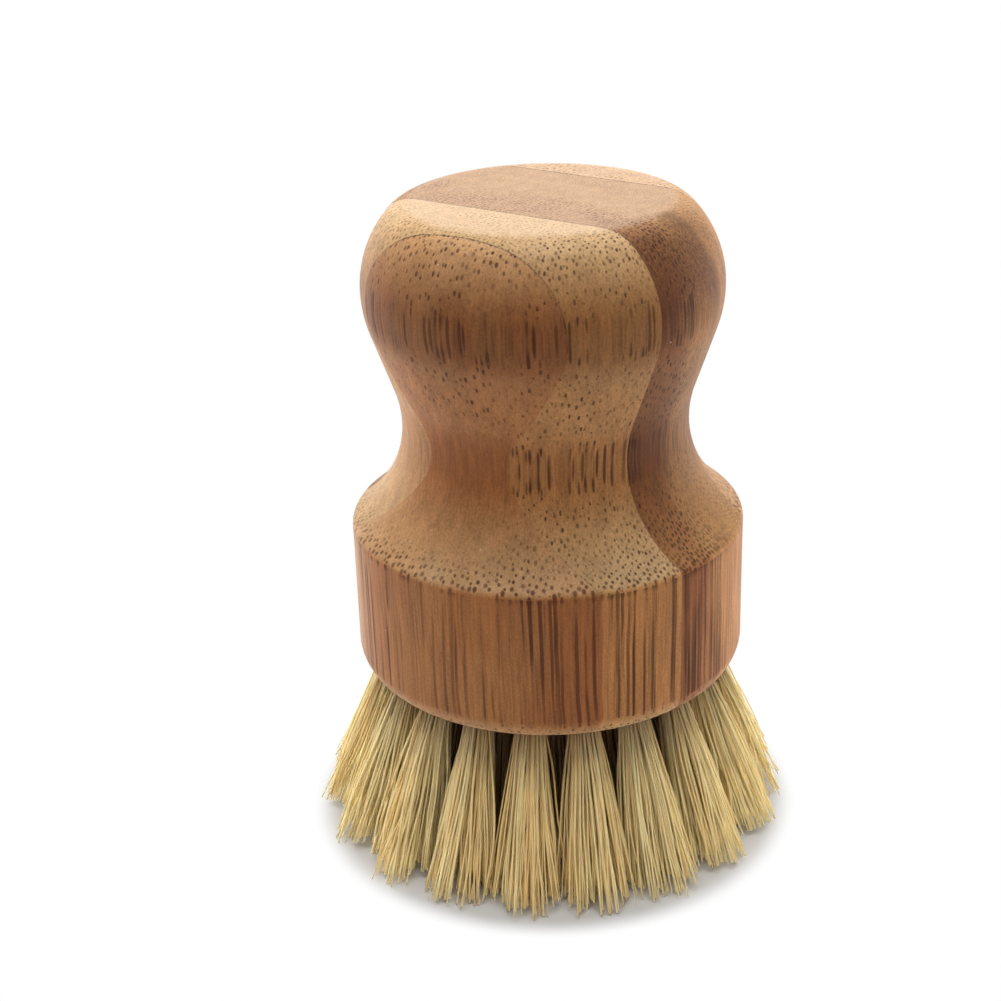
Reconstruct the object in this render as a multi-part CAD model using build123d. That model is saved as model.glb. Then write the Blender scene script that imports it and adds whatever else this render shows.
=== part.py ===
"""Palm brush: a turned, laminated bamboo knob handle with forty fibre tufts in its underside.

Millimetres. +Z is up. The origin is the centre of the flat on which the bristle tips stand.
Heights named here are above the handle's flat underside, unless they say otherwise.
"""
from build123d import *
import os
from math import asin, atan2, cos, degrees, radians, sin, sqrt, tan

# Base of the handle
bristle_height = 22.0
base_diameter = 51.8
base_wall_height = 21.05
bottom_edge_radius = 3.8
shoulder_edge_radius = 1.3

# Waist, flank and knob of the handle
waist_diameter = 37.3
waist_curve_radius = 16.0
flank_angle = 19.0
knob_diameter = 46.1
knob_lower_radius = 15.5
knob_upper_radius = 14.0
crown_height_share = 0.786
rim_edge_radius = 5.4

# Glue planes of the laminated block: the direction across the strips, and each plane's distance
# from the axis along it
lamination_angle = 57.5
front_seam_offset = -17.8
middle_seam_offset = -8.0
back_seam_offset = 10.8

# Blind holes for the tufts, on evenly spaced circles round one in the centre. The inset is from
# the base's side to the middle of an outer hole
hole_diameter = 4.2
hole_depth = 10.0
circle_count = 3
outer_circle_inset = 5.6
outer_tilt = 18.0
middle_tilt = 12.0
inner_tilt = 8.0
outer_tufts = 19
middle_tufts = 13
inner_tufts = 7
outer_first_angle = -97.6
middle_first_angle = -90.0
inner_first_angle = -75.0

# Flat wire anchors across the holes: how far each end bites into the wood, the wire's section, and
# the angle between the anchor and the line to the handle's axis
anchor_bite = 0.6
anchor_width = 1.6
anchor_thickness = 0.36
anchor_turn = 30.0

# Tufts: a packed, folded root in the hole and strands that fan out below it
root_clearance = 0.15
root_sides = 8
root_proud = 0.7
fold_height = 1.2
strand_sides = 3
strand_radius = 0.4
strand_inset = 0.5
tip_spread_radius = 5.2
tip_trim = 0.5
core_strands = 4
rim_strands = 8
core_place_share = 0.30
rim_place_share = 0.72
pattern_turn = 137.5

# One overrun serves all cuts
overrun = 1.0
full_turn = 360

# Sizes that follow from the ones above
base_radius = base_diameter / 2
waist_centre_radius = waist_diameter / 2 + waist_curve_radius
waist_rise = sqrt(waist_curve_radius**2 - (waist_centre_radius - base_radius) ** 2)
waist_height = base_wall_height + waist_rise
knob_radius = knob_diameter / 2
knob_lower_centre_radius = knob_radius - knob_lower_radius
knob_upper_centre_radius = knob_radius - knob_upper_radius
flank_start_radius = waist_centre_radius - waist_curve_radius * cos(radians(flank_angle))
flank_end_radius = knob_lower_centre_radius + knob_lower_radius * cos(radians(flank_angle))
flank_rise = (flank_end_radius - flank_start_radius) / tan(radians(flank_angle))
curve_rise = (waist_curve_radius + knob_lower_radius) * sin(radians(flank_angle))
knob_height = waist_height + curve_rise + flank_rise
crown_height = knob_upper_radius * crown_height_share
handle_height = knob_height + crown_height
overall_height = bristle_height + handle_height
outer_circle_diameter = base_diameter - 2 * outer_circle_inset
circle_step = outer_circle_diameter / circle_count
middle_circle_diameter = outer_circle_diameter - circle_step
inner_circle_diameter = middle_circle_diameter - circle_step
hole_radius = hole_diameter / 2
root_radius = hole_radius - root_clearance
root_depth = hole_depth - root_clearance
anchor_length = hole_diameter + 2 * anchor_bite
anchor_depth = root_depth - fold_height - anchor_width / 2


def handle_outline():
    """Half section of the turned handle: across is the radius, up is the height."""
    corner_angle = degrees(atan2(-waist_rise, base_radius - waist_centre_radius)) % full_turn
    waist_end_angle = full_turn / 2 - flank_angle
    crown_angle = degrees(asin(crown_height_share))
    bottom = Line((0, 0), (base_radius, 0))
    wall = Line(bottom @ 1, (base_radius, base_wall_height))
    waist = CenterArc(
        (waist_centre_radius, waist_height), waist_curve_radius,
        start_angle=corner_angle, arc_size=waist_end_angle - corner_angle,
    )
    lower_knob = CenterArc(
        (knob_lower_centre_radius, knob_height), knob_lower_radius,
        start_angle=-flank_angle, arc_size=flank_angle,
    )
    flank = Line(waist @ 1, lower_knob @ 0)
    upper_knob = CenterArc(
        (knob_upper_centre_radius, knob_height), knob_upper_radius,
        start_angle=0, arc_size=crown_angle,
    )
    top = Line(upper_knob @ 1, (0, handle_height))
    axis = Line((0, handle_height), (0, 0))
    outline = make_face([bottom, wall, waist, flank, lower_knob, upper_knob, top, axis])
    for edge_point, edge_radius in (
        (bottom @ 1, bottom_edge_radius),
        (wall @ 1, shoulder_edge_radius),
        (top @ 0, min(rim_edge_radius, crown_height / 2)),
    ):
        corner = outline.vertices().sort_by_distance(edge_point)[0]
        outline = fillet(corner, edge_radius)
    return outline


def turned_block():
    """The whole handle as it leaves the lathe, standing on its underside at bristle height."""
    block = revolve(Plane.XZ * handle_outline(), Axis.Z)
    return Pos(0, 0, bristle_height) * block


def tuft_place(circle_diameter, tilt, around):
    """Frame at a hole's mouth: Z runs down out of the hole, X points away from the axis."""
    outward = Vector(cos(radians(around)), sin(radians(around)), 0)
    up = Vector(0, 0, 1)
    out_of_hole = outward * sin(radians(tilt)) - up * cos(radians(tilt))
    across = outward * cos(radians(tilt)) + up * sin(radians(tilt))
    mouth = outward * circle_diameter / 2 + up * bristle_height
    return Plane(origin=mouth, x_dir=across, z_dir=out_of_hole)


def ring_places(circle_diameter, tilt, count, first_angle):
    """Places of one ring of holes, evenly spaced round the axis."""
    pitch = full_turn / count
    return [tuft_place(circle_diameter, tilt, first_angle + pitch * i) for i in range(count)]


def tuft_places():
    """Name and place of every tuft, ring by ring."""
    rings = {
        "outer": ring_places(outer_circle_diameter, outer_tilt, outer_tufts, outer_first_angle),
        "middle": ring_places(
            middle_circle_diameter, middle_tilt, middle_tufts, middle_first_angle
        ),
        "inner": ring_places(inner_circle_diameter, inner_tilt, inner_tufts, inner_first_angle),
    }
    places = {}
    for ring, ring_of_places in rings.items():
        for number, place in enumerate(ring_of_places, start=1):
            places[f"tuft_{ring}_{number:02d}"] = place
    places["tuft_centre"] = tuft_place(0, 0, 0)
    return places


def bore():
    """What the drill takes out of one hole, running out past the rounded edge of the underside."""
    run_out = hole_diameter + overrun
    return Pos(0, 0, -hole_depth) * Cylinder(
        hole_radius, hole_depth + run_out, align=(Align.CENTER, Align.CENTER, Align.MIN)
    )


def anchor():
    """Flat wire anchor, lying across its hole with both ends in the wood."""
    across_hole = Pos(0, 0, -anchor_depth) * Rot(0, 0, anchor_turn)
    return across_hole * Box(anchor_length, anchor_thickness, anchor_width)


def strand_pattern():
    """Where each strand stands in a tuft, as shares of the tuft's radius."""
    places = []
    for count, share in ((core_strands, core_place_share), (rim_strands, rim_place_share)):
        for i in range(count):
            around = radians(full_turn * i / count)
            places.append(Vector(share * cos(around), share * sin(around), 0))
    return places


def strand(place, spot):
    """One strand, from inside the packed root to just below the floor."""
    fall = place.origin.Z / -place.z_dir.Z
    start = place.from_local_coords(spot * root_radius + Vector(0, 0, root_proud - strand_inset))
    tip = place.from_local_coords(spot * tip_spread_radius + Vector(0, 0, fall))
    run = tip - start
    reach = run.length * (start.Z + tip_trim) / (start.Z - tip.Z)
    section = Plane(origin=start, x_dir=place.y_dir.cross(run), z_dir=run)
    return extrude(section * RegularPolygon(strand_radius, strand_sides), reach)


def tuft(place, number):
    """One tuft: its packed root, narrowed where the fibres fold over the anchor, and its strands.

    The strands are cut off flat in the plane that the brush stands on.
    """
    root = Pos(0, 0, -root_depth) * extrude(
        RegularPolygon(root_radius, root_sides), root_depth + root_proud
    )
    fold_edges = root.faces().sort_by(Axis.Z)[0].edges()
    root = place * (chamfer(fold_edges, fold_height / 2) - anchor())
    spots = [spot.rotate(Axis.Z, pattern_turn * number) for spot in strand_pattern()]
    whole = root.fuse(*[strand(place, spot) for spot in spots])
    return split(whole, bisect_by=Plane.XY, keep=Keep.TOP)


def strips(block):
    """The turned block taken apart along its glue planes, front strip first."""
    across = Vector(cos(radians(lamination_angle)), sin(radians(lamination_angle)), 0)
    pieces = []
    rest = block
    for offset in (front_seam_offset, middle_seam_offset, back_seam_offset):
        seam = Plane(origin=across * offset, z_dir=across)
        pieces.append(split(rest, bisect_by=seam, keep=Keep.BOTTOM))
        rest = split(rest, bisect_by=seam, keep=Keep.TOP)
    pieces.append(rest)
    return dict(zip(("strip_front", "strip_light", "strip_dark", "strip_back"), pieces))


def build():
    """Every node of the brush, by name."""
    places = tuft_places()
    bores = [place * bore() for place in places.values()]
    anchors = [place * anchor() for place in places.values()]
    nodes = strips(turned_block() - bores - anchors)
    nodes["anchors"] = Compound(children=anchors)
    for number, (name, place) in enumerate(places.items()):
        nodes[name] = tuft(place, number)
    return nodes


os.makedirs("parts", exist_ok=True)
for node, shape in build().items():
    export_step(shape, f"parts/{node}.step")
print("overall height", round(overall_height, 2))
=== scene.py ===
"""Palm brush: a turned knob of glued bamboo strips over forty fanned tufts of plant fibre.

Metres. +Z is up, and the bristle tips stand on the floor at zero. Bamboo sizes without MM are
millimetres in the glued block: across its strips, along them, and height above the floor.
"""
import math
from types import SimpleNamespace

import bpy
import numpy as np
from mathutils import Matrix, Vector


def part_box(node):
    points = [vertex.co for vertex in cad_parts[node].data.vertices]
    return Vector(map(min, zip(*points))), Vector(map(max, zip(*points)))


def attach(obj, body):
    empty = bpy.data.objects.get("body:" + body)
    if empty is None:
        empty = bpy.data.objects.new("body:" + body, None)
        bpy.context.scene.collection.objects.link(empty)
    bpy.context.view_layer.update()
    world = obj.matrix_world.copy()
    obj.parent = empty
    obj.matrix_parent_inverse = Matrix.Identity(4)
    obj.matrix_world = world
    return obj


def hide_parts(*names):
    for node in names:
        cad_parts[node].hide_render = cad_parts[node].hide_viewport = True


def srgb(red, green, blue):
    """A written 0 to 255 colour as the linear colour that the shaders take."""
    steps = (red / 255, green / 255, blue / 255)
    return (*(((step + 0.055) / 1.055) ** 2.4 for step in steps), 1.0)


MM = 0.001
SEED = 7
WHITE = (1.0, 1.0, 1.0, 1.0)

# Camera of the photograph
camera_distance = 228.87 * MM
camera_height = 148.9 * MM
camera_pitch = math.radians(24.57)
camera_yaw = math.radians(-1.55)
camera_roll = math.radians(-1.87)
camera_lens = 68.05
camera_clip = 10.0 * MM
sensor_width = 36.0

# Floor, surroundings and lamps
floor_size = 6.0
# Painted shadow: within a reach round a point a little in front of the brush the eye sees the paper
# at a darker tone, and beyond it plain white
painted_shadow_paper = 0.60
floor_bounce = 0.95
painted_shadow_centre = (0.0, -2.0 * MM, 0.0)
painted_shadow_reach = (29.8 * MM, 34.0 * MM)
world_level = 0.16
world_gloss_level = 1.0
top_lamp = {"place": (0.0, -0.03, 0.70), "size": 0.50, "power": 4.3}
back_lamp = {"place": (0.0, 0.75, 0.42), "size": 0.90, "power": 2.2}
left_lamp = {"place": (-0.54, 0.36, 0.05), "size": 0.30, "power": 5.2}
right_lamp = {"place": (0.54, 0.36, 0.05), "size": 0.30, "power": 4.5}
lamp_aim = (0.0, 0.0, 0.045)

# Bamboo block: the direction across the strips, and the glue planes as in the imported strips
lamination_angle = math.radians(57.5)
front_seam = -17.8
middle_seam = -8.0
back_seam = 10.8
block_edge = 26.0
strip_edge_angle = math.radians(32)

# How the turning cuts the bamboo: the upward share of the surface's direction at which it shows
# end grain and at which it counts as the level top
end_grain_slope = (0.08, 0.95)
level_slope = (0.94, 0.995)
# Share of painted top light and sheen that the level top takes
level_top_painted_share = 0.6
steep_limit = 1.02

# Fibre bundles: how they wander, how even, big and dark they are, the pitch of the dashes that the
# slopes cut them into, and the patches with fewer of them
wander_scale = (0.06, 0.06, 0.05)
wander_width = 1.4
bundle_unevenness = 0.62
bundle_growth = (0.78, 1.23)
bundle_core = 0.5
bundle_darkness = (0.7, 1.0)
bundle_seed_shift = 37.0
dash_pitch = 1.3
dash_gap = (0.45, -0.35)
patch_scale = (0.26, 0.26, 0.05)
patch_edge = (0.38, 0.58)

# Coarse and small bundles of a strip, by how much end grain shows
coarse_size_slope = (0.0, 0.06)
coarse_growth = (1.3, 0.95)
coarse_fade_slope = (0.0, 0.3)
coarse_fade = (0.85, 0.4)
small_fade = 0.6
small_strength = (0.75, 0.33)
small_seed_step = 1.3
dash_slope_start = (0.01, 0.08)
dash_slope_end = (0.6, 0.3)
bundle_relief = -1.0

# Rows and places with more or fewer bundles
edge_row_start = (41.6, 42.6)
edge_row_end = (44.6, 43.4)
edge_row_growth = 1.4
edge_row_fade = 0.2
bare_start = (44.0, 46.5)
bare_end = (66.0, 59.0)
bare_strength = 0.2
# Bundles fade under the painted sheen to one side, and on the level top
painted_sheen_hides = -1.8
level_hides = -0.3

# Grain between the bundles: how far each kind is drawn out, and how it lightens the wood
grain_stretch = (1.0, 1.0, 0.055)
band_stretch = (0.6, 0.6, 0.035)
cloud_stretch = (0.17, 0.17, 0.05)
speckle_scale = 3.8
grain_contrast = (0.25, 0.75)
soft_contrast = (0.3, 0.7)
streaky_ground = 0.50
streaky_shares = {"Bands": 0.32, "Grain": 0.36, "Speckle": 0.30}
speckled_ground = 0.72
speckled_shares = {"Bands": 0.16, "Speckle": 0.4}
growth_wobble = 3.0
cloud_share = 0.3
# Heights of painted light and shade: side grain lightened or darkened at the foot, waist and belly
# of each strip, and end grain darkened at the shoulder
foot_heights = (42.0, 46.0)
belly_heights = (65.0, 73.0)
shoulder_heights = (45.0, 56.0)
shoulder_painted_shade = 0.83

# Stain, glue lines, dust and finish of the bamboo, and the tone of its painted sheen to one side
stain_wobble = 4.0
stain_reach = (13.0, 6.0)
stain_strength = (0.9, 0.5)
glue_width = (0.06, 0.22)
glue_core = 0.25
glue_breaks = (0.3, 0.7, 0.15, 0.6)
glue_side_share = 0.3
glue_heights = (72.0, 79.0, 0.4, 1.5)
dust_scale = 0.34
dust_size = (0.052, 0.02)
dust_rarity = (0.55, 0.75)
dust_strength = 0.6
bamboo_roughness = 0.48
grain_roughness = 0.10
bundle_roughness = 0.14
grain_relief = 0.35
relief_strength = 0.4
relief_depth = 0.06 * MM
bamboo_specular = 0.2
bamboo_sheen = 0.10
sheen_roughness = 0.4
sheen_tint = srgb(255, 244, 232)
glue_tone = srgb(62, 34, 18)
painted_sheen_tone = srgb(234, 208, 174)
dust_tone = srgb(236, 218, 196)

# Each strip: the glue planes that bound it, its tones where cut along and across (the end-cut ones
# paler, partly painted light from above), its painted top light, its painted sheen to one side, its
# painted light and shade by height, and its bundles. nowhere is a range outside the block, for what
# a strip doesn't have
nowhere = (60.0, 70.0)
STRIP_LOOKS = {
    "strip_front": {
        "seams": (-block_edge, front_seam),
        "low_side": srgb(152, 100, 56), "high_side": srgb(142, 85, 42),
        "low_end": srgb(206, 165, 122), "high_end": srgb(203, 157, 108),
        "level_top_painted_light": srgb(216, 181, 148), "painted_sheen_side": (10.0, 26.0, 0.0, 0.42),
        "bare_side": (-11.0, -4.0),
        "bundle": srgb(72, 31, 10), "side_depth": 0.95, "end_depth": 0.92,
        "foot_painted_level": 1.20, "waist_painted_level": 1.20, "belly_painted_level": 0.80,
        "turn_from": -26.0, "turn_to": -19.0, "fineness": 3.2,
        "coarse_spacing": 0.86, "coarse_size": 0.28, "small_spacing": 0.54, "small_size": 0.25,
        "coarse_from": -30.0, "coarse_to": -22.0, "lean": (0.010, -0.016, 0.0), "seed": 2.1,
    },
    "strip_light": {
        "seams": (front_seam, middle_seam),
        "low_side": srgb(150, 98, 52), "high_side": srgb(160, 108, 60),
        "low_end": srgb(202, 162, 112), "high_end": srgb(212, 174, 126),
        "level_top_painted_light": srgb(219, 187, 152), "painted_sheen_side": (-2.0, 14.0, 0.0, 0.11),
        "bare_side": (2.0, 9.0),
        "bundle": srgb(66, 31, 11), "side_depth": 0.95, "end_depth": 0.92,
        "foot_painted_level": 1.38, "waist_painted_level": 1.20, "belly_painted_level": 0.90,
        "turn_from": -16.5, "turn_to": -9.0, "fineness": 4.0,
        "coarse_spacing": 0.70, "coarse_size": 0.29, "small_spacing": 0.50, "small_size": 0.28,
        "coarse_from": -2.0, "coarse_to": -9.0, "lean": (-0.012, 0.010, 0.0), "seed": 5.4,
    },
    "strip_dark": {
        "seams": (middle_seam, back_seam),
        "low_side": srgb(126, 72, 33), "high_side": srgb(158, 107, 60),
        "low_end": srgb(172, 120, 74), "high_end": srgb(186, 138, 86),
        "level_top_painted_light": srgb(196, 162, 132), "painted_sheen_side": (*nowhere, 0.0, 0.0),
        "bare_side": nowhere,
        "bundle": srgb(54, 26, 11), "side_depth": 0.9, "end_depth": 0.92,
        "foot_painted_level": 1.46, "waist_painted_level": 0.79, "belly_painted_level": 1.04,
        "turn_from": -3.4, "turn_to": 3.0, "fineness": 4.4,
        "coarse_spacing": 0.60, "coarse_size": 0.40, "small_spacing": 0.44, "small_size": 0.34,
        "coarse_from": 8.0, "coarse_to": -2.0, "lean": (0.014, 0.012, 0.0), "seed": 8.2,
        "stain": (-3.0, -19.0, 79.0), "stain_tone": srgb(84, 46, 25),
    },
    "strip_back": {
        "seams": (back_seam, block_edge),
        "low_side": srgb(158, 106, 62), "high_side": srgb(150, 98, 54),
        "low_end": srgb(206, 162, 114), "high_end": srgb(196, 146, 96),
        "level_top_painted_light": srgb(216, 182, 150), "painted_sheen_side": (*nowhere, 0.0, 0.0),
        "bare_side": nowhere,
        "bundle": srgb(80, 40, 16), "side_depth": 0.95, "end_depth": 0.9,
        "foot_painted_level": 1.3, "waist_painted_level": 1.2, "belly_painted_level": 0.92,
        "turn_from": 12.0, "turn_to": 24.0, "fineness": 3.6,
        "coarse_spacing": 0.80, "coarse_size": 0.36, "small_spacing": 0.52, "small_size": 0.27,
        "coarse_from": 24.0, "coarse_to": 14.0, "lean": (-0.010, -0.014, 0.0), "seed": 11.7,
    },
}

# Brass of the anchors
brass_bright = (0.80, 0.58, 0.25, 1.0)
brass_dull = (0.62, 0.42, 0.17, 1.0)
brass_noise_scale = 900.0
brass_tone_edge = (0.35, 0.65)
brass_roughness = (0.28, 0.45)

# Colour and gloss of the fibres
straw_deep = srgb(245, 200, 119)
straw_pale = srgb(255, 236, 177)
straw_ripe = srgb(206, 160, 96)
# Painted shade: the brown the fibres take near the wood and deep in the brush
straw_painted_shade = srgb(104, 46, 13)
ripe_tones = (0.34, 0.06)
mottle_scale = 420.0
mottle_levels = (0.82, 1.18)
straw_roughness = (0.56, 0.44)
straw_specular = 0.4

# One tuft: how many fibres it has, and each one's size
fibre_ends = {"outer": 172, "middle": 108, "inner": 84, "centre": 84}
fibre_radius = (0.105 * MM, 0.20 * MM)
stray_radius = 0.055 * MM
tip_taper_share = 0.72
fibre_sides = 5
free_steps = 9
fibre_slant = (0.31, 0.17, 0.93)

# Where a tuft stands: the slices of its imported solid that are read, and the reach within which its
# own anchor lies
packed_top_slice = 0.9 * MM
packed_foot_slice = 0.02 * MM
anchor_aside = 3.4 * MM
anchor_reach = 5.0 * MM

# The held part of a tuft, folded over its anchor
tuft_root_radius = 1.86 * MM
spot_unevenness = 0.03
fold_drop = 1.2 * MM
fold_rise = 0.95 * MM
fold_least_share = 0.25
fold_turns = (math.pi / 2, math.pi / 4)
leg_middle_share = 0.5

# The free part of a tuft: its fan, its locks, and the bows, waves and trim of its fibres
tuft_spread = {"outer": 5.3 * MM, "middle": 4.6 * MM, "inner": 4.2 * MM, "centre": 4.2 * MM}
fan_power = 1.02
fan_limit = 1.08
lock_count = 17
lock_ring_share = 0.92
lock_pull_share = 0.75
tip_scatter = 0.06
stray_share = 0.02
stray_scatter = 0.45
bow_scatter = 0.10
bend_share = 0.14
bend_scatter = 0.22
bow_share = 0.5
wave_width = 0.26 * MM
wave_turns = (1.0, 2.0)
trim_least = 0.15 * MM
trim_depth = 1.7 * MM
trim_lock_share = 0.6
trim_power = 1.5

# Tone of each fibre, paler towards the sides of the brush by painted light, and its painted shade
# near the wood and deep in the brush
fibre_tone_odds = (2.6, 1.7)
lock_tone_odds = (2.0, 1.4)
lock_tone_share = 0.4
# Painted light: tufts towards the sides of the brush are paler
side_painted_light = 0.6
side_painted_light_reach = 20.0 * MM
painted_wood_shade = 0.85
painted_wood_shade_reach = 0.17
ring_painted_shade = {"outer": 0.0, "middle": 0.9, "inner": 0.95, "centre": 0.95}
ring_painted_shade_power = 0.6


# Small helpers for node trees

def node(tree, kind, **settings):
    """A new node with its settings, and its inputs where a setting names one."""
    made = tree.nodes.new(kind)
    for key, value in settings.items():
        if hasattr(made, key):
            setattr(made, key, value)
        else:
            made.inputs[key.replace("_", " ")].default_value = value
    return made


def feed(tree, slot, term):
    """Puts a socket or a constant into an input."""
    if isinstance(term, bpy.types.NodeSocket):
        tree.links.new(term, slot)
    else:
        slot.default_value = term


def maths(tree, operation, *terms, clamp=False):
    """One Math node's result. Each term is a socket or a number."""
    made = node(tree, "ShaderNodeMath", operation=operation, use_clamp=clamp)
    for slot, term in zip(made.inputs, terms):
        feed(tree, slot, term)
    return made.outputs[0]


def product(tree, *terms):
    """All terms multiplied."""
    result = terms[0]
    for term in terms[1:]:
        result = maths(tree, "MULTIPLY", result, term)
    return result


def between(tree, share, low, high):
    """The value at a share of the way from low to high, which are numbers."""
    return maths(tree, "MULTIPLY_ADD", share, high - low, low)


def remap(tree, value, low, high, to_low=0.0, to_high=1.0):
    """value taken smoothly from one range to another."""
    made = node(tree, "ShaderNodeMapRange", interpolation_type="SMOOTHSTEP")
    for name, term in (
        ("Value", value), ("From Min", low), ("From Max", high),
        ("To Min", to_low), ("To Max", to_high),
    ):
        feed(tree, made.inputs[name], term)
    return made.outputs["Result"]


def blend_colour(tree, share, first, second, mode="MIX"):
    """Two colours mixed by a share. Each is a socket or a constant."""
    made = node(tree, "ShaderNodeMix", data_type="RGBA", blend_type=mode)
    for slot, term in ((made.inputs[0], share), (made.inputs[6], first), (made.inputs[7], second)):
        feed(tree, slot, term)
    return made.outputs[2]


def blend_value(tree, share, first, second):
    """Two values mixed by a share."""
    made = tree.nodes.new("ShaderNodeMix")
    for slot, term in ((made.inputs[0], share), (made.inputs[2], first), (made.inputs[3], second)):
        feed(tree, slot, term)
    return made.outputs[0]


def split_place(tree, place):
    """The three parts of a vector."""
    made = tree.nodes.new("ShaderNodeSeparateXYZ")
    tree.links.new(place, made.inputs[0])
    return list(made.outputs)


def split_chance(tree, colour):
    """The three parts of a random colour, as chances."""
    made = tree.nodes.new("ShaderNodeSeparateColor")
    tree.links.new(colour, made.inputs[0])
    return list(made.outputs)


def distance_from(tree, place, centre):
    """How far a place lies from a fixed point."""
    made = node(tree, "ShaderNodeVectorMath", operation="DISTANCE")
    tree.links.new(place, made.inputs[0])
    made.inputs[1].default_value = centre
    return made.outputs["Value"]


def stretched_noise(tree, place, stretch, **settings):
    """Noise that is drawn out by its own scale in each direction."""
    drawn = node(tree, "ShaderNodeMapping", Scale=stretch)
    tree.links.new(place, drawn.inputs["Vector"])
    noise = node(tree, "ShaderNodeTexNoise", **settings)
    tree.links.new(drawn.outputs[0], noise.inputs["Vector"])
    return noise


def group(name, inputs, outputs):
    """An empty node group with named sockets, and its two end nodes."""
    tree = bpy.data.node_groups.new(name, "ShaderNodeTree")
    for socket, kind, value in inputs:
        made = tree.interface.new_socket(socket, in_out="INPUT", socket_type=kind)
        if value is not None:
            made.default_value = value
    for socket, kind in outputs:
        tree.interface.new_socket(socket, in_out="OUTPUT", socket_type=kind)
    return tree, tree.nodes.new("NodeGroupInput"), tree.nodes.new("NodeGroupOutput")


def use(tree, made_group, **values):
    """Places a group in a tree. A value is a socket or a constant."""
    made = tree.nodes.new("ShaderNodeGroup")
    made.node_tree = made_group
    for key, value in values.items():
        feed(tree, made.inputs[key.replace("_", " ")], value)
    return made


def new_material(name):
    """A material with its node tree and its shader."""
    made = bpy.data.materials.new(name)
    made.use_nodes = True
    return made, made.node_tree, made.node_tree.nodes["Principled BSDF"]


# Camera, floor and lamps

def make_camera():
    """The photograph's viewing angle."""
    pitch, yaw, roll = camera_pitch, camera_yaw, camera_roll
    forward = Vector(
        (math.sin(yaw) * math.cos(pitch), math.cos(yaw) * math.cos(pitch), -math.sin(pitch))
    )
    right = forward.cross(Vector((0, 0, 1))).normalized()
    up = right.cross(forward)
    rolled_right = math.cos(roll) * right + math.sin(roll) * up
    rolled_up = math.cos(roll) * up - math.sin(roll) * right
    turn = Matrix((rolled_right, rolled_up, -forward)).transposed()
    lens = bpy.data.cameras.new("camera")
    lens.sensor_width = sensor_width
    lens.lens = camera_lens
    lens.clip_start = camera_clip
    camera = bpy.data.objects.new("camera", lens)
    place = Matrix.Translation((0.0, -camera_distance, camera_height))
    camera.matrix_world = place @ turn.to_4x4()
    bpy.context.scene.collection.objects.link(camera)
    bpy.context.scene.camera = camera


def seen_directly(tree):
    """1 where the eye sees the surface itself, and 0 where it only lends light."""
    return tree.nodes.new("ShaderNodeLightPath").outputs["Is Camera Ray"]


def floor_material():
    """Pale paper that shows white to the eye away from the brush, and a darker tone near it: a
    painted shadow ring over the brush's real soft shadow.
    """
    made, tree, _ = new_material("pale_paper")
    tree.nodes.clear()
    out = tree.nodes.new("ShaderNodeOutputMaterial")
    paper = tree.nodes.new("ShaderNodeBsdfDiffuse")
    glow = node(tree, "ShaderNodeEmission", Color=WHITE, Strength=1.0)
    seen = seen_directly(tree)
    tree.links.new(between(tree, seen, floor_bounce, painted_shadow_paper), paper.inputs["Color"])
    where = tree.nodes.new("ShaderNodeTexCoord")
    away = distance_from(tree, where.outputs["Object"], painted_shadow_centre)
    mixed = tree.nodes.new("ShaderNodeMixShader")
    # Painted shadow: the darker paper shows to the eye only near the brush
    tree.links.new(product(tree, seen, remap(tree, away, *painted_shadow_reach)), mixed.inputs[0])
    tree.links.new(paper.outputs[0], mixed.inputs[1])
    tree.links.new(glow.outputs[0], mixed.inputs[2])
    tree.links.new(mixed.outputs[0], out.inputs["Surface"])
    return made


def make_floor():
    """A wide flat sheet under the bristle tips."""
    half = floor_size / 2
    mesh = bpy.data.meshes.new("floor")
    corners = [(-half, -half, 0), (half, -half, 0), (half, half, 0), (-half, half, 0)]
    mesh.from_pydata(corners, [], [(0, 1, 2, 3)])
    mesh.materials.append(floor_material())
    floor = bpy.data.objects.new("floor", mesh)
    bpy.context.scene.collection.objects.link(floor)


def make_lamp(name, place, size, power, in_gloss=True):
    """A square soft lamp turned towards the brush, mirrored in its gloss or not."""
    light = bpy.data.lights.new(name, "AREA")
    light.size = size
    light.energy = power
    lamp = bpy.data.objects.new(name, light)
    lamp.location = place
    lamp.visible_glossy = in_gloss
    lamp.rotation_mode = "QUATERNION"
    lamp.rotation_quaternion = (Vector(lamp_aim) - Vector(place)).to_track_quat("-Z", "Y")
    bpy.context.scene.collection.objects.link(lamp)


def make_world():
    """Even pale surroundings, white to the eye and in gloss."""
    world = bpy.data.worlds.new("studio")
    bpy.context.scene.world = world
    world.use_nodes = True
    tree = world.node_tree
    tree.nodes.clear()
    out = tree.nodes.new("ShaderNodeOutputWorld")
    glossy = tree.nodes.new("ShaderNodeLightPath").outputs["Is Glossy Ray"]
    level = between(tree, glossy, world_level, world_gloss_level)
    level = maths(tree, "MULTIPLY_ADD", seen_directly(tree), 1.0 - world_level, level)
    back = node(tree, "ShaderNodeBackground", Color=WHITE)
    tree.links.new(level, back.inputs["Strength"])
    tree.links.new(back.outputs[0], out.inputs["Surface"])


# Bamboo: effects that all strips share

def in_block(tree, output):
    """A texture coordinate turned into the block: X across the strips, Y along them, Z up."""
    where = tree.nodes.new("ShaderNodeTexCoord")
    turned = node(tree, "ShaderNodeVectorRotate", rotation_type="Z_AXIS", Angle=-lamination_angle)
    tree.links.new(where.outputs[output], turned.inputs["Vector"])
    return turned.outputs[0]


def block_place_group():
    """Place in the glued block, in millimetres."""
    tree, _, ends = group("block_place", [], [("Place", "NodeSocketVector")])
    scaled = node(tree, "ShaderNodeVectorMath", operation="SCALE", Scale=1 / MM)
    tree.links.new(in_block(tree, "Object"), scaled.inputs[0])
    tree.links.new(scaled.outputs[0], ends.inputs["Place"])
    return tree


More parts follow.
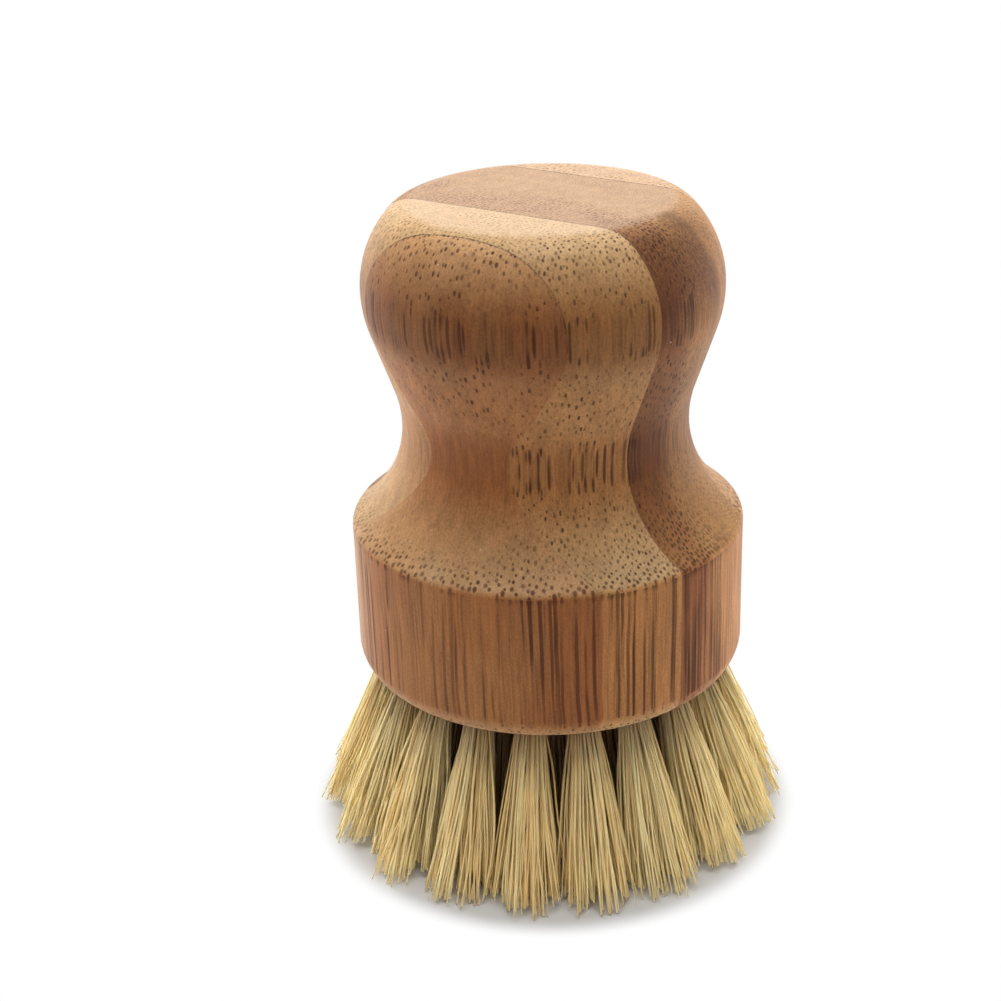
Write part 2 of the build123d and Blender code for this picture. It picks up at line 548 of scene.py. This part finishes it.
def bundle_section(tree, given):
    """Place across the bundles, which lean and wander on their way up the block."""
    place = split_place(tree, given["Place"])
    lean = split_place(tree, given["Lean"])
    wander = stretched_noise(
        tree, given["Place"], wander_scale, noise_dimensions="4D", Scale=1.0, Detail=2.0
    )
    tree.links.new(given["Seed"], wander.inputs["W"])
    drift = split_chance(tree, wander.outputs["Color"])
    flat = tree.nodes.new("ShaderNodeCombineXYZ")
    for axis in (0, 1):
        leaned = maths(tree, "MULTIPLY_ADD", place[2], lean[axis], place[axis])
        drifted = maths(tree, "MULTIPLY_ADD", drift[axis], wander_width, leaned)
        tree.links.new(drifted, flat.inputs[axis])
    shifted = node(tree, "ShaderNodeVectorMath", operation="ADD")
    tree.links.new(flat.outputs[0], shifted.inputs[0])
    tree.links.new(product(tree, given["Seed"], bundle_seed_shift), shifted.inputs[1])
    return shifted.outputs[0], place[2]


def fibre_bundles_group():
    """Dark fibre bundles that run up the bamboo: dots where it is cut across, streaks along it."""
    tree, starts, ends = group(
        "fibre_bundles",
        [
            ("Place", "NodeSocketVector", None), ("Spacing", "NodeSocketFloat", 1.0),
            ("Size", "NodeSocketFloat", 0.3), ("Lean", "NodeSocketVector", (0.0, 0.0, 0.0)),
            ("Fade", "NodeSocketFloat", 0.5), ("Seed", "NodeSocketFloat", 0.0),
            ("Shortness", "NodeSocketFloat", 0.0),
        ],
        [("Mask", "NodeSocketFloat")],
    )
    given = starts.outputs
    section, height = bundle_section(tree, given)
    cells = node(
        tree, "ShaderNodeTexVoronoi", voronoi_dimensions="2D", Randomness=bundle_unevenness
    )
    tree.links.new(section, cells.inputs["Vector"])
    tree.links.new(maths(tree, "DIVIDE", 1.0, given["Spacing"]), cells.inputs["Scale"])
    chance = split_chance(tree, cells.outputs["Color"])
    reach = product(tree, given["Size"], between(tree, chance[0], *bundle_growth))
    dot = remap(tree, cells.outputs["Distance"], reach, product(tree, reach, bundle_core))

    full_turn = 2 * math.pi
    phase = maths(
        tree, "MULTIPLY_ADD", chance[2], full_turn, product(tree, height, full_turn / dash_pitch)
    )
    gap = remap(tree, maths(tree, "SINE", phase), *dash_gap)
    unbroken = maths(tree, "SUBTRACT", 1.0, product(tree, gap, given["Shortness"]))

    patches = stretched_noise(
        tree, given["Place"], patch_scale, noise_dimensions="4D", Scale=1.0, Detail=2.5
    )
    tree.links.new(given["Seed"], patches.inputs["W"])
    weak = maths(tree, "SUBTRACT", remap(tree, patches.outputs["Fac"], *patch_edge), 1.0)
    kept = maths(tree, "MULTIPLY_ADD", given["Fade"], weak, 1.0)
    mark = product(tree, dot, between(tree, chance[1], *bundle_darkness), unbroken)
    tree.links.new(maths(tree, "MULTIPLY", mark, kept, clamp=True), ends.inputs["Mask"])
    return tree


def fine_grain_group():
    """Hair-fine grain and bands along the bamboo, soft clouds, and a speckle for cut ends."""
    tree, starts, ends = group(
        "fine_grain",
        [("Place", "NodeSocketVector", None), ("Fineness", "NodeSocketFloat", 4.0)],
        [
            ("Grain", "NodeSocketFloat"), ("Bands", "NodeSocketFloat"),
            ("Clouds", "NodeSocketFloat"), ("Speckle", "NodeSocketFloat"),
        ],
    )
    place = starts.outputs["Place"]
    grain = stretched_noise(tree, place, grain_stretch, Detail=3.0, Roughness=0.65)
    tree.links.new(starts.outputs["Fineness"], grain.inputs["Scale"])
    bands = stretched_noise(tree, place, band_stretch, Scale=1.0, Detail=4.0, Roughness=0.62)
    clouds = stretched_noise(tree, place, cloud_stretch, Scale=1.0, Detail=2.0)
    speckle = node(
        tree, "ShaderNodeTexNoise", Scale=speckle_scale, Detail=4.0, Roughness=0.66
    )
    tree.links.new(place, speckle.inputs["Vector"])
    for name, noise, contrast in (
        ("Grain", grain, grain_contrast), ("Bands", bands, soft_contrast),
        ("Clouds", clouds, soft_contrast), ("Speckle", speckle, soft_contrast),
    ):
        tree.links.new(remap(tree, noise.outputs["Fac"], *contrast), ends.inputs[name])
    return tree


def glue_line_group():
    """A thin dark line where the strip meets a glue plane at an offset across the block."""
    tree, starts, ends = group(
        "glue_line",
        [
            ("Across", "NodeSocketFloat", 0.0), ("Offset", "NodeSocketFloat", 0.0),
            ("Width", "NodeSocketFloat", 0.1), ("Steepness", "NodeSocketFloat", 1.0),
        ],
        [("Line", "NodeSocketFloat")],
    )
    given = starts.outputs
    away = maths(tree, "ABSOLUTE", maths(tree, "SUBTRACT", given["Across"], given["Offset"]))
    wide = product(tree, given["Width"], given["Steepness"])
    tree.links.new(remap(tree, away, wide, product(tree, wide, glue_core)), ends.inputs["Line"])
    return tree


def dust_specks_group():
    """A few tiny pale specks of filler dust."""
    tree, starts, ends = group(
        "dust_specks", [("Place", "NodeSocketVector", None)], [("Mask", "NodeSocketFloat")]
    )
    cells = node(tree, "ShaderNodeTexVoronoi", Scale=dust_scale, Randomness=1.0)
    tree.links.new(starts.outputs["Place"], cells.inputs["Vector"])
    chance = split_chance(tree, cells.outputs["Color"])
    speck = remap(tree, cells.outputs["Distance"], *dust_size)
    rare = remap(tree, chance[0], *dust_rarity)
    tree.links.new(product(tree, speck, rare), ends.inputs["Mask"])
    return tree


# Bamboo: one strip's own material

def block_cut(tree, groups, looks):
    """How the surface cuts the block at each spot: where, how steeply, and through which grain."""
    place = use(tree, groups["block_place"]).outputs["Place"]
    across, along, height = split_place(tree, place)
    facing_across, _, facing_up = split_place(tree, in_block(tree, "Normal"))
    flatness = maths(
        tree, "SUBTRACT", steep_limit, maths(tree, "POWER", facing_across, 2.0), clamp=True
    )
    grain = use(
        tree, groups["fine_grain"], Place=place, Fineness=looks["fineness"]
    ).outputs
    return SimpleNamespace(
        place=place, across=across, along=along, height=height, grain=grain,
        end_grain=remap(tree, maths(tree, "ABSOLUTE", facing_up), *end_grain_slope),
        level_top=remap(tree, facing_up, *level_slope),
        steepness=maths(tree, "SQRT", flatness),
        growth=maths(tree, "MULTIPLY_ADD", grain["Clouds"], growth_wobble, across),
        # Share of the painted sheen towards one side of the block
        pale=remap(tree, along, *looks["painted_sheen_side"]),
    )


def clear_wood(tree, cut, looks):
    """Colour of the wood: by its growth; by how it is cut, the end-cut tones paler partly of their
    own and partly as painted light from above; paler to one side by a painted sheen; and paler on
    the level top by painted top light and sheen.
    """
    turn = remap(tree, cut.growth, looks["turn_from"], looks["turn_to"])
    turn = maths(tree, "SUBTRACT", turn, cloud_share / 2)
    tone = maths(
        tree, "MULTIPLY_ADD", cut.grain["Clouds"], cloud_share, turn, clamp=True
    )
    side_cut = blend_colour(tree, tone, looks["low_side"], looks["high_side"])
    end_cut = blend_colour(tree, tone, looks["low_end"], looks["high_end"])
    # End-cut tones: partly the cut's own tone, partly painted light from above
    wood = blend_colour(tree, cut.end_grain, side_cut, end_cut)
    # Painted sheen: paler towards one side of the front and light strips
    wood = blend_colour(tree, cut.pale, wood, painted_sheen_tone)
    # Painted top light and sheen: the level top takes a paler tone
    return blend_colour(tree, product(tree, cut.level_top, level_top_painted_share), wood, looks["level_top_painted_light"])


def layered(tree, grain, ground, shares):
    """A ground level with a share of each kind of grain on it."""
    level = ground
    for kind, share in shares.items():
        level = maths(tree, "MULTIPLY_ADD", grain[kind], share, level)
    return level


def grain_level(tree, cut, looks):
    """How light the grain leaves the wood, streaky along it and speckled across it, times painted
    light and shade by height.
    """
    waist, belly = looks["waist_painted_level"], looks["belly_painted_level"]
    # Painted light and shade by height: on the side grain at foot, waist and belly; on the end grain
    # at the shoulder
    streaky = product(
        tree, remap(tree, cut.height, *foot_heights, looks["foot_painted_level"], waist),
        remap(tree, cut.height, *belly_heights, 1.0, belly / waist),
        layered(tree, cut.grain, streaky_ground, streaky_shares),
    )
    speckled = product(
        tree, layered(tree, cut.grain, speckled_ground, speckled_shares),
        remap(tree, cut.height, *shoulder_heights, shoulder_painted_shade, 1.0),
    )
    return blend_value(tree, cut.end_grain, streaky, speckled)


def stained(tree, cut, wood, looks):
    """The wood with a dark cloudy stain round one spot of the block."""
    away = distance_from(tree, cut.place, looks["stain"])
    away = maths(tree, "MULTIPLY_ADD", cut.grain["Clouds"], stain_wobble, away)
    strength = between(tree, cut.grain["Speckle"], *stain_strength)
    stain = product(tree, remap(tree, away, *stain_reach), strength)
    return blend_colour(tree, stain, wood, looks["stain_tone"])


def bundle_marks(tree, groups, cut, looks):
    """Mask of the strip's bundles: coarse ones towards one side of it, and small ones all over."""
    edge_row = product(
        tree, remap(tree, cut.height, *edge_row_start), remap(tree, cut.height, *edge_row_end)
    )
    sizes = (looks["coarse_size"] * growth for growth in coarse_growth)
    coarse_size = product(
        tree, between(tree, edge_row, 1.0, edge_row_growth),
        remap(tree, cut.end_grain, *coarse_size_slope, *sizes),
    )
    fade = product(
        tree, between(tree, edge_row, 1.0, edge_row_fade),
        remap(tree, cut.end_grain, *coarse_fade_slope, *coarse_fade),
    )
    shortness = product(
        tree, remap(tree, cut.end_grain, *dash_slope_start),
        remap(tree, cut.end_grain, *dash_slope_end),
    )
    shared = {"Place": cut.place, "Lean": looks["lean"], "Shortness": shortness}
    coarse = use(
        tree, groups["fibre_bundles"], **shared, Spacing=looks["coarse_spacing"],
        Size=coarse_size, Fade=fade, Seed=looks["seed"],
    )
    small = use(
        tree, groups["fibre_bundles"], **shared, Spacing=looks["small_spacing"],
        Size=looks["small_size"], Fade=small_fade, Seed=looks["seed"] + small_seed_step,
    )
    share = remap(tree, cut.growth, looks["coarse_from"], looks["coarse_to"])
    bundles = maths(
        tree, "MAXIMUM", product(tree, coarse.outputs["Mask"], share),
        product(tree, small.outputs["Mask"], between(tree, share, *small_strength)),
    )
    bare = product(
        tree, remap(tree, cut.along, *looks["bare_side"]),
        remap(tree, cut.height, *bare_start), remap(tree, cut.height, *bare_end),
    )
    # Fewer bundles under the painted sheen to one side
    return product(
        tree, bundles, between(tree, bare, 1.0, bare_strength),
        maths(tree, "MULTIPLY_ADD", cut.pale, painted_sheen_hides, 1.0),
    )


def bundled(tree, cut, wood, bundles, looks):
    """The wood with its dark bundles, fainter on the level top."""
    shown = maths(tree, "MULTIPLY_ADD", cut.level_top, level_hides, bundles)
    darkest = between(tree, cut.end_grain, looks["side_depth"], looks["end_depth"])
    depth = maths(tree, "MULTIPLY", shown, darkest, clamp=True)
    return blend_colour(tree, depth, wood, looks["bundle"])


def glued(tree, groups, cut, wood, looks):
    """The wood with broken dark glue lines at its seams, plainest high on the knob."""
    speckle = cut.grain["Speckle"]
    for seam in looks["seams"]:
        line = use(
            tree, groups["glue_line"], Across=cut.across, Offset=seam, Steepness=cut.steepness,
            Width=between(tree, speckle, *glue_width),
        )
        strength = product(
            tree, remap(tree, speckle, *glue_breaks),
            between(tree, cut.end_grain, glue_side_share, 1.0),
            remap(tree, cut.height, *glue_heights),
        )
        shade = maths(tree, "MULTIPLY", line.outputs["Line"], strength, clamp=True)
        wood = blend_colour(tree, shade, wood, glue_tone)
    return wood


def bamboo_material(name, groups, looks):
    """One strip's bamboo. looks holds its tones and how its bundles lie."""
    made, tree, shader = new_material(name)
    cut = block_cut(tree, groups, looks)
    wood = clear_wood(tree, cut, looks)
    wood = blend_colour(tree, 1.0, wood, grain_level(tree, cut, looks), "MULTIPLY")
    if "stain" in looks:
        wood = stained(tree, cut, wood, looks)
    bundles = bundle_marks(tree, groups, cut, looks)
    wood = bundled(tree, cut, wood, bundles, looks)
    wood = glued(tree, groups, cut, wood, looks)
    dust = use(tree, groups["dust_specks"], Place=cut.place).outputs["Mask"]
    wood = blend_colour(tree, product(tree, dust, dust_strength), wood, dust_tone)
    tree.links.new(wood, shader.inputs["Base Color"])

    grain = cut.grain["Grain"]
    rough = maths(tree, "MULTIPLY_ADD", grain, grain_roughness, bamboo_roughness)
    rough = maths(tree, "MULTIPLY_ADD", bundles, bundle_roughness, rough)
    tree.links.new(rough, shader.inputs["Roughness"])
    shader.inputs["Specular IOR Level"].default_value = bamboo_specular
    shader.inputs["Sheen Weight"].default_value = bamboo_sheen
    shader.inputs["Sheen Roughness"].default_value = sheen_roughness
    shader.inputs["Sheen Tint"].default_value = sheen_tint
    relief = maths(
        tree, "MULTIPLY_ADD", bundles, bundle_relief, product(tree, grain, grain_relief)
    )
    bump = node(tree, "ShaderNodeBump", Strength=relief_strength, Distance=relief_depth)
    tree.links.new(relief, bump.inputs["Height"])
    tree.links.new(bump.outputs[0], shader.inputs["Normal"])
    return made


def dress_strips(nodes):
    """Gives each packed strip its own bamboo and keeps its hard edges."""
    groups = {
        made.name: made
        for made in (
            block_place_group(), fibre_bundles_group(), fine_grain_group(), glue_line_group(),
            dust_specks_group(),
        )
    }
    for name, looks in STRIP_LOOKS.items():
        strip = nodes[name]
        strip.data.shade_smooth()
        strip.data.set_sharp_from_angle(angle=strip_edge_angle)
        strip.data.materials.clear()
        strip.data.materials.append(
            bamboo_material(name.replace("strip", "bamboo"), groups, looks)
        )


# Anchors

def brass_material():
    """Bare flat brass wire, slightly dull."""
    made, tree, shader = new_material("flat_brass_wire")
    where = tree.nodes.new("ShaderNodeTexCoord")
    dull = node(tree, "ShaderNodeTexNoise", Scale=brass_noise_scale, Detail=2.0)
    tree.links.new(where.outputs["Object"], dull.inputs["Vector"])
    dulled = remap(tree, dull.outputs["Fac"], *brass_tone_edge)
    tree.links.new(
        blend_colour(tree, dulled, brass_bright, brass_dull), shader.inputs["Base Color"]
    )
    rough = remap(tree, dull.outputs["Fac"], *soft_contrast, *brass_roughness)
    tree.links.new(rough, shader.inputs["Roughness"])
    shader.inputs["Metallic"].default_value = 1.0
    return made


def dress_anchors(nodes):
    """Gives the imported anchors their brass."""
    anchors = nodes["anchors"]
    anchors.data.materials.clear()
    anchors.data.materials.append(brass_material())


# Tufts

def fibre_material():
    """Straw-coloured plant fibre: each fibre has its own tone, with painted shade that browns it
    towards its root and deep in the brush.
    """
    made, tree, shader = new_material("plant_fibre")
    tone = node(tree, "ShaderNodeAttribute", attribute_name="fibre_tone").outputs["Fac"]
    depth = node(tree, "ShaderNodeAttribute", attribute_name="fibre_painted_shade").outputs["Fac"]
    straw = blend_colour(tree, tone, straw_deep, straw_pale)
    straw = blend_colour(tree, remap(tree, tone, *ripe_tones), straw, straw_ripe)
    where = tree.nodes.new("ShaderNodeTexCoord")
    mottle = node(tree, "ShaderNodeTexNoise", Scale=mottle_scale, Detail=2.0)
    tree.links.new(where.outputs["Object"], mottle.inputs["Vector"])
    level = between(tree, mottle.outputs["Fac"], *mottle_levels)
    straw = blend_colour(tree, 1.0, straw, level, "MULTIPLY")
    # Painted shade: browner near the wood and, in the inner rings, towards the root
    straw = blend_colour(tree, depth, straw, straw_painted_shade)
    tree.links.new(straw, shader.inputs["Base Color"])
    tree.links.new(between(tree, tone, *straw_roughness), shader.inputs["Roughness"])
    shader.inputs["Specular IOR Level"].default_value = straw_specular
    return made


def corners_of(piece):
    """A piece's mesh points as an array."""
    flat = np.empty(len(piece.data.vertices) * 3)
    piece.data.vertices.foreach_get("co", flat)
    return flat.reshape(-1, 3)


def anchor_direction(anchor_points, top, down):
    """Direction along the anchor that lies across this hole, square to the hole."""
    offset = anchor_points - top
    aside = np.linalg.norm(offset - np.outer(offset @ down, down), axis=1)
    near = anchor_points[aside < anchor_aside]
    near = near[np.linalg.norm(near - top, axis=1) < anchor_reach]
    spread = near - near.mean(axis=0)
    spread = spread - np.outer(spread @ down, down)
    long_way = np.linalg.svd(spread, full_matrices=False)[2][0]
    return long_way / np.linalg.norm(long_way)


def tuft_place(packed, anchor_points, wood_bottom):
    """Where a packed tuft stands: where it leaves the wood, its top, and its three directions."""
    points = corners_of(packed)
    top = points[points[:, 2] > points[:, 2].max() - packed_top_slice].mean(axis=0)
    foot = points[points[:, 2] < packed_foot_slice].mean(axis=0)
    down = (foot - top) / np.linalg.norm(foot - top)
    mouth = top + down * (top[2] - wood_bottom) / -down[2]
    across = anchor_direction(anchor_points, top, down)
    return SimpleNamespace(
        mouth=mouth, down=down, across=across, aside=np.cross(down, across),
        fold_base=np.linalg.norm(mouth - top) - fold_drop,
    )


def at_hole(place, offset, run):
    """Points at a run from the hole's mouth, each with its own offset across the hole."""
    return place.mouth + run + offset[:, :1] * place.across + offset[:, 1:] * place.aside


def packed_spots(count, rng):
    """Evenly packed places in a unit disc, slightly uneven."""
    order = np.arange(count) + 0.5
    radius = np.sqrt(order / count)
    around = order * math.pi * (3 - math.sqrt(5)) + rng.uniform(0, 2 * math.pi)
    spots = np.stack([radius * np.cos(around), radius * np.sin(around)], axis=1)
    return spots * (1 - spot_unevenness * rng.random((count, 1)))


def folds(spots, place):
    """The arch of each fibre over its anchor, from the middle of the arch to its own leg."""
    side = spots[:, 1:]
    share = np.abs(side)
    arch = []
    for turn in fold_turns:
        offset = np.hstack([spots[:, :1], np.sign(side) * share * math.cos(turn)])
        lift = (fold_least_share + (1 - fold_least_share) * share) * fold_rise * math.sin(turn)
        run = -place.down * (place.fold_base + lift)
        arch.append(at_hole(place, offset * tuft_root_radius, run))
    return np.stack(arch, axis=1)


def held_ends(spots, place):
    """Each fibre's leg in the hole, from the fold down to the middle of the hole."""
    offset = spots * tuft_root_radius
    rises = (place.fold_base, place.fold_base * leg_middle_share)
    return np.stack([at_hole(place, offset, -place.down * rise) for rise in rises], axis=1)


def tip_targets(spots, rng):
    """Where the tips fan out to, gathered in locks, with which fibres stray and their locks."""
    count = len(spots)
    locks = packed_spots(lock_count, rng) * lock_ring_share
    lock = np.linalg.norm(spots[:, None] - locks[None], axis=2).argmin(axis=1)
    targets = spots + (locks[lock] - spots) * lock_pull_share * rng.random((count, 1))
    targets += rng.normal(0, tip_scatter, (count, 2))
    stray = rng.random(count) < stray_share
    targets[stray] += rng.normal(0, stray_scatter, (stray.sum(), 2))
    reach = np.linalg.norm(targets, axis=1, keepdims=True)
    return targets / np.maximum(reach / fan_limit, 1.0), stray, lock


def free_ends(spots, place, spread, shares, rng):
    """Each fibre's free length below the wood, which fibres stray, and the lock of each."""
    count = len(spots)
    fall = place.mouth[2] / -place.down[2]
    targets, stray, lock = tip_targets(spots, rng)
    bow = rng.normal(0, bow_scatter, (count, 2))
    bent = rng.random(count) < bend_share
    bow[bent] += rng.normal(0, bend_scatter, (bent.sum(), 2))
    lock_trim = rng.random(lock_count)[lock]
    uneven = trim_lock_share * lock_trim + (1 - trim_lock_share) * rng.random(count)
    trim = trim_least + trim_depth * uneven ** trim_power
    phase = rng.uniform(0, 2 * math.pi, (count, 2))
    turns = rng.uniform(*wave_turns, (count, 1))
    width = wave_width * rng.random((count, 1))
    points = []
    for share in shares:
        fan = share ** fan_power
        offset = spots * tuft_root_radius * (1 - fan) + targets * spread * fan
        offset = offset + bow * spread * math.sin(math.pi * share) * bow_share
        wave = np.sin(2 * math.pi * turns * share + phase) - np.sin(phase)
        offset = offset + width * math.sqrt(share) * wave
        points.append(at_hole(place, offset, place.down * fall * share))
    lines = np.stack(points, axis=1)
    tip_heights = lines[:, -1, 2]
    shorten = 1 + (tip_heights - trim) / (place.mouth[2] - tip_heights)
    start = lines[:, :1]
    return start + (lines - start) * shorten[:, None, None], stray, lock


def tube_mesh(name, lines, radii, values):
    """One mesh of closed thin tubes. lines is fibres by points by three, radii fibres by points."""
    fibres, steps, _ = lines.shape
    sides = fibre_sides
    run = np.gradient(lines, axis=1)
    run /= np.linalg.norm(run, axis=2, keepdims=True)
    aside = np.cross(run, np.array(fibre_slant))
    aside /= np.linalg.norm(aside, axis=2, keepdims=True)
    other = np.cross(run, aside)
    around = np.arange(sides) * 2 * math.pi / sides
    ring = (
        aside[:, :, None] * np.cos(around)[None, None, :, None]
        + other[:, :, None] * np.sin(around)[None, None, :, None]
    )
    points = (lines[:, :, None] + ring * radii[:, :, None, None]).reshape(-1, 3)
    first = (np.arange(fibres) * steps * sides)[:, None, None]
    row = (np.arange(steps - 1) * sides)[None, :, None]
    here = np.arange(sides)[None, None, :]
    after = (here + 1) % sides
    walls = np.stack(
        [first + row + here, first + row + after,
         first + row + sides + after, first + row + sides + here], axis=3,
    ).reshape(-1, 4)
    start_caps = np.arange(fibres)[:, None] * steps * sides + np.arange(sides)[None, ::-1]
    end_caps = start_caps[:, ::-1] + (steps - 1) * sides
    faces = walls.tolist() + start_caps.tolist() + end_caps.tolist()
    mesh = bpy.data.meshes.new(name)
    mesh.from_pydata(points.tolist(), [], faces)
    mesh.shade_smooth()
    for value_name, value in values.items():
        attribute = mesh.attributes.new(value_name, "FLOAT", "POINT")
        attribute.data.foreach_set("value", np.repeat(value, sides, axis=1).ravel())
    mesh.validate()
    return mesh


def make_tuft(node_name, packed, anchor_points, wood_bottom, straw):
    """The fibres of one tuft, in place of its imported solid."""
    ring = node_name.split("_")[1]
    name_sum = sum(ord(letter) * (i + 1) for i, letter in enumerate(node_name))
    rng = np.random.default_rng(SEED + name_sum)
    place = tuft_place(packed, anchor_points, wood_bottom)
    count = fibre_ends[ring]
    spots = packed_spots(count, rng)
    shares = np.linspace(0, 1, free_steps + 1)
    free, stray, lock = free_ends(spots, place, tuft_spread[ring], shares, rng)
    buried = np.concatenate([folds(spots, place), held_ends(spots, place)], axis=1)
    lines = np.concatenate([buried, free], axis=1)
    along = np.tile(np.concatenate([np.zeros(buried.shape[1]), shares]), (count, 1))

    thick = rng.uniform(*fibre_radius, (count, 1))
    thick[stray] = stray_radius
    radii = thick * (1 - (1 - tip_taper_share) * along ** 2)
    own_tone = rng.beta(*fibre_tone_odds, (count, 1))
    lock_tone = rng.beta(*lock_tone_odds, (lock_count, 1))[lock]
    # Painted light: paler tone for tufts towards the sides of the brush
    own_tone = own_tone + side_painted_light * abs(place.mouth[0]) / side_painted_light_reach
    tone = np.clip((1 - lock_tone_share) * own_tone + lock_tone_share * lock_tone, 0.0, 1.0)
    # Painted shade: darker just below the wood, and in the inner rings towards the root
    painted_shade_near_wood = np.exp(-along / painted_wood_shade_reach) * painted_wood_shade
    painted_shade_inwards = ring_painted_shade[ring] * (1 - along) ** ring_painted_shade_power
    values = {
        "fibre_tone": np.repeat(tone, lines.shape[1], axis=1),
        "fibre_painted_shade": np.maximum(painted_shade_near_wood, painted_shade_inwards),
    }

    mesh = tube_mesh(node_name.replace("tuft", "fibres"), lines, radii, values)
    mesh.materials.append(straw)
    piece = bpy.data.objects.new(mesh.name, mesh)
    bpy.context.scene.collection.objects.link(piece)
    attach(piece, "root")
    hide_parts(node_name)


def dress_tufts(nodes):
    """Real fibres for every packed tuft."""
    straw = fibre_material()
    wood_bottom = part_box("strip_dark")[0].z
    anchor_points = corners_of(nodes["anchors"])
    for name in sorted(nodes):
        if name.startswith("tuft_"):
            make_tuft(name, nodes[name], anchor_points, wood_bottom, straw)


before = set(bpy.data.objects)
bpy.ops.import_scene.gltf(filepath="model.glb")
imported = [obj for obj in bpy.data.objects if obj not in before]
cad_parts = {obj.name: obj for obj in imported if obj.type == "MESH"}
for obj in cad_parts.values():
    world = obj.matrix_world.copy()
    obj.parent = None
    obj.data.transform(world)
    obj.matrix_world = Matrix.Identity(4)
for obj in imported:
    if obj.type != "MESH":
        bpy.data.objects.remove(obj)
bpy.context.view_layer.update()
bpy.context.scene.view_settings.view_transform = "Standard"
make_camera()
make_floor()
make_world()
make_lamp("lamp_top", **top_lamp)
make_lamp("lamp_back", **back_lamp)
make_lamp("lamp_left", **left_lamp, in_gloss=False)
make_lamp("lamp_right", **right_lamp, in_gloss=False)
dress_strips(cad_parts)
dress_anchors(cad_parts)
dress_tufts(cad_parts)
